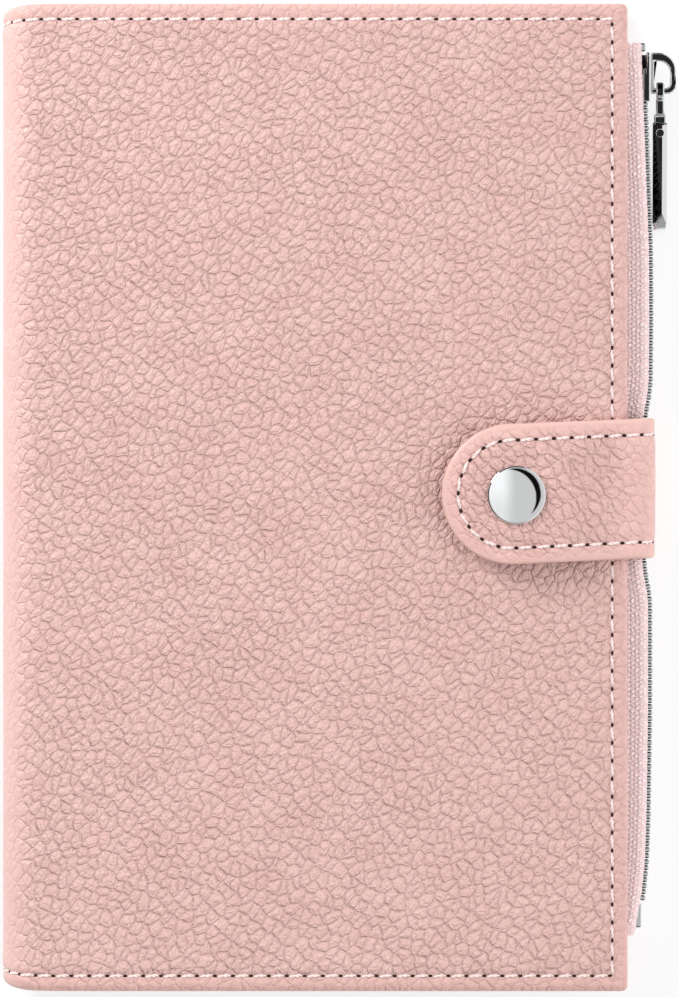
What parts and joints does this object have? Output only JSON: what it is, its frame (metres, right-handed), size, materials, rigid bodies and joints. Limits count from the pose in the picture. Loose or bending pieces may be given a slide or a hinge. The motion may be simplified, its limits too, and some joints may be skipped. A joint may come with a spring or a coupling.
{
  "type": "travel document wallet",
  "caption": "Book-style travel document wallet with a folded leather cover, an inner zip pocket at the long edge and a wraparound strap with a snap.",
  "frame": {"origin": "middle of the closed wallet's footprint, on the surface that it lies on", "axes": "+Z out of the front cover, +Y up the book towards the slider's end, +X from the spine towards the zip"},
  "size_m": [0.1128, 0.165, 0.021],
  "materials": {
    "cover_leather": "pale pink pebble-grained coated leather, semi-matt",
    "strap_leather": "pale pink pebble-grained coated leather with a paler painted edge",
    "inner_leather": "smooth pale pink coated leather, matt",
    "stiffener_board": "plain grey-brown bookbinding board",
    "lining_cloth": "fine woven pink polyester lining",
    "zip_tape": "pale pink knitted polyester zip tape",
    "zip_metal": "small bright nickel-plated teeth and stops",
    "slider_metal": "nickel-plated slider and puller, black on their broad faces and polished bright at their edges",
    "snap_metal": "mirror-polished nickel-plated snap"
  },
  "bodies": {
    "wallet": {"outer_cover": "cover_leather", "front_stiffener": "stiffener_board", "back_stiffener": "stiffener_board", "inner_lining": "lining_cloth", "passport_sleeve": "inner_leather", "card_slot_1": "inner_leather", "card_slot_2": "inner_leather", "card_slot_3": "inner_leather", "zip_pocket": "lining_cloth", "zip_tape_front": "zip_tape", "zip_tape_back": "zip_tape", "zip_teeth_front": "zip_metal", "zip_teeth_back": "zip_metal", "zip_top_stop_front": "zip_metal", "zip_top_stop_back": "zip_metal", "zip_bottom_stop": "zip_metal", "snap_stud": "snap_metal", "snap_post": "snap_metal"},
    "strap": {"snap_strap": "strap_leather", "snap_cap": "snap_metal", "snap_socket": "snap_metal"},
    "slider": {"zip_slider": "slider_metal", "slider_bridge": "slider_metal"},
    "puller": {"puller_link": "slider_metal", "puller_tab": "slider_metal", "puller_pin": "slider_metal"}
  },
  "joints": [
    {"name": "strap_open", "type": "hinge", "parent": "wallet", "child": "strap", "pos_m": [0.04888, 0.0014, 0.0015], "axis": [0, 1, 0], "range_deg": [0, 90]},
    {"name": "zip_slide", "type": "slide", "parent": "wallet", "child": "slider", "axis": [0.0211, -0.9998, 0], "range_m": [0, 0.047]},
    {"name": "puller_swing", "type": "hinge", "parent": "slider", "child": "puller", "pos_m": [0.05375, 0.0682, 0.0065], "axis": [-1, 0, 0], "range_deg": [-135, 158]}
  ]
}
